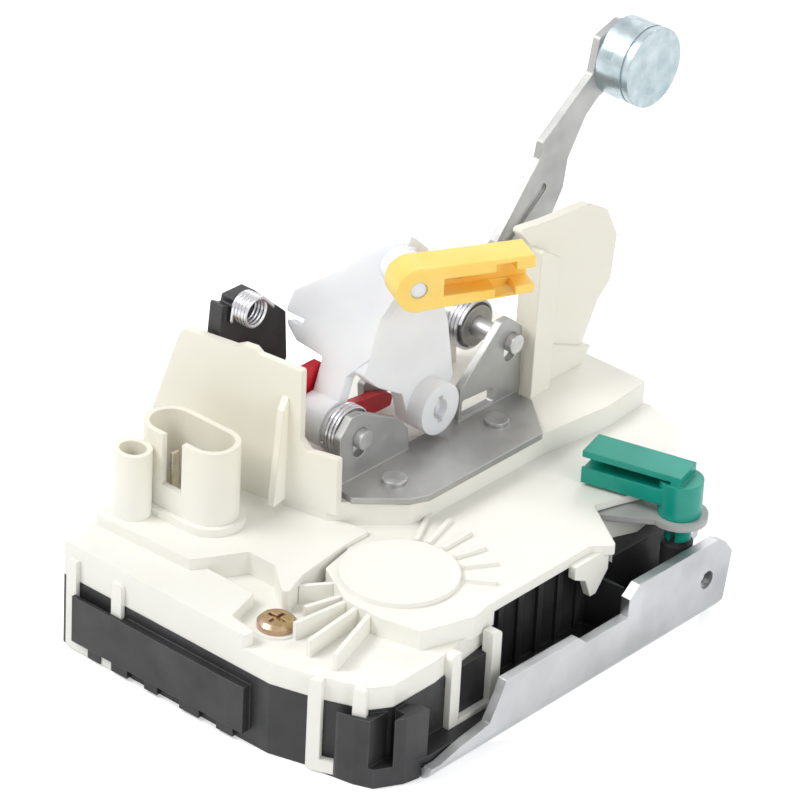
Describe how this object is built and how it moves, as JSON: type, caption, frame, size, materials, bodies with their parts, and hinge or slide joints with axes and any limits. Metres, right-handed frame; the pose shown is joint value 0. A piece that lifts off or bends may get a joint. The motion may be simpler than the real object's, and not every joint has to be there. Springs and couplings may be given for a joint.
{
  "type": "door latch actuator",
  "caption": "Car door latch actuator: black and white plastic casing on a steel latch plate, open lever mechanism with counterweight, rod clips and plug socket",
  "frame": {"origin": "axis of the front M6 fixing hole, on the outer (shut-face) side of the latch plate", "axes": "+Z points from the latch plate up through the casings; +Y runs along the plate's flange towards the open end of the striker slot; +X points out through the flange"},
  "size_m": [0.1073, 0.1822, 0.1098],
  "materials": {
    "zinc_steel": "bright zinc plate, lightly rolled",
    "bracket_steel": "matt zinc-plated pressing",
    "pin_steel": "plated steel",
    "spring_steel": "drawn spring wire",
    "motor_steel": "drawn can",
    "zinc_weight": "blue passivated zinc plate, slightly mottled",
    "yellow_zinc": "yellow passivated",
    "brass_worm": "turned",
    "terminal_brass": "tinned",
    "black_plastic": "glass-filled moulding, fine grain",
    "white_plastic": "cream-white moulding, satin",
    "natural_plastic": "translucent natural moulding",
    "grey_plastic": "satin moulding",
    "yellow_plastic": "slightly translucent moulding",
    "green_plastic": "satin moulding",
    "red_plastic": "satin moulding",
    "stop_rubber": "soft moulded rubber"
  },
  "bodies": {
    "housing": {"latch_plate": "zinc_steel", "base_housing": "black_plastic", "cover_housing": "white_plastic", "pivot_bracket": "bracket_steel", "lever_pin": "pin_steel", "counterweight_pin": "pin_steel", "lever_return_spring": "spring_steel", "counterweight_spring": "spring_steel", "claw_pin": "pin_steel", "pawl_pin": "pin_steel", "motor_case": "motor_steel", "motor_end_cap": "black_plastic", "wheel_axle": "pin_steel", "lock_lever_pin": "pin_steel", "circuit_carrier": "black_plastic", "latch_switch": "black_plastic", "bump_stop": "stop_rubber", "cover_screw": "yellow_zinc", "bracket_rivet_1": "pin_steel", "bracket_rivet_2": "pin_steel", "connector_terminal_1": "terminal_brass", "connector_terminal_2": "terminal_brass", "connector_terminal_3": "terminal_brass", "connector_terminal_4": "terminal_brass"},
    "outside_lever": {"outside_lever": "natural_plastic"},
    "rod_clip": {"rod_clip": "yellow_plastic"},
    "inside_lever": {"inside_lever": "black_plastic", "link_spring": "spring_steel"},
    "lock_link": {"lock_link": "red_plastic"},
    "counterweight": {"counterweight_arm": "bracket_steel", "counterweight_mass": "zinc_weight"},
    "claw": {"claw": "pin_steel"},
    "pawl": {"pawl": "pin_steel"},
    "worm": {"worm": "brass_worm"},
    "worm_wheel": {"worm_wheel": "grey_plastic"},
    "lock_lever": {"lock_lever": "grey_plastic"},
    "lock_rod_clip": {"lock_rod_clip": "green_plastic"}
  },
  "joints": [
    {"name": "outside_lever_pivot", "type": "hinge", "parent": "housing", "child": "outside_lever", "pos_m": [-0.023, -0.0188, 0.0466], "axis": [1, 0, 0], "range_deg": [0, 22], "stiffness_Nm_per_rad": 0.2, "springref_deg": -28.65},
    {"name": "rod_clip_swivel", "type": "hinge", "parent": "outside_lever", "child": "rod_clip", "pos_m": [-0.0074, -0.0083, 0.0849], "axis": [0.878, -0.4787, 0], "range_deg": [-30, 30]},
    {"name": "inside_lever_pivot", "type": "hinge", "parent": "housing", "child": "inside_lever", "pos_m": [-0.023, -0.0188, 0.0466], "axis": [1, 0, 0], "range_deg": [-12, 0], "stiffness_Nm_per_rad": 0.05, "springref_deg": 28.65},
    {"name": "lock_link_pivot", "type": "hinge", "parent": "housing", "child": "lock_link", "pos_m": [-0.023, -0.0188, 0.0466], "axis": [1, 0, 0], "range_deg": [-2, 6]},
    {"name": "counterweight_pivot", "type": "hinge", "parent": "housing", "child": "counterweight", "pos_m": [-0.032, 0.034, 0.0512], "axis": [1, 0, 0], "range_deg": [-22.3, 0]},
    {"name": "claw_pivot", "type": "hinge", "parent": "housing", "child": "claw", "pos_m": [-0.015, 0.03, 0.0048], "axis": [0, 0, 1], "range_deg": [-40, 0], "stiffness_Nm_per_rad": 0.05, "springref_deg": 22.92},
    {"name": "pawl_pivot", "type": "hinge", "parent": "housing", "child": "pawl", "pos_m": [0.0165, 0.031, 0.0048], "axis": [0, 0, 1], "range_deg": [-11, 0], "stiffness_Nm_per_rad": 0.02, "springref_deg": 11.46},
    {"name": "worm_spin", "type": "hinge", "parent": "housing", "child": "worm", "pos_m": [0.0158, -0.0505, 0.015], "axis": [1, 0, 0], "range_deg": [-1800, 1800]},
    {"name": "worm_wheel_spin", "type": "hinge", "parent": "housing", "child": "worm_wheel", "pos_m": [0.0158, -0.0353, 0.015], "axis": [0, 0, 1], "range_deg": [-55, 55]},
    {"name": "lock_lever_pivot", "type": "hinge", "parent": "housing", "child": "lock_lever", "pos_m": [0.0225, 0.0215, 0.026], "axis": [0, 0, 1], "range_deg": [-8.6, 8.6]},
    {"name": "lock_rod_clip_swivel", "type": "hinge", "parent": "lock_lever", "child": "lock_rod_clip", "pos_m": [0.0405, 0.035, 0.03], "axis": [0, 0, 1], "range_deg": [-12, 12]}
  ],
  "couplings": [
    {"joint": "counterweight_pivot", "follows": "outside_lever_pivot", "ratio": -0.89},
    {"joint": "worm_spin", "follows": "worm_wheel_spin", "ratio": 30},
    {"joint": "lock_lever_pivot", "follows": "worm_wheel_spin", "ratio": -0.1533}
  ]
}
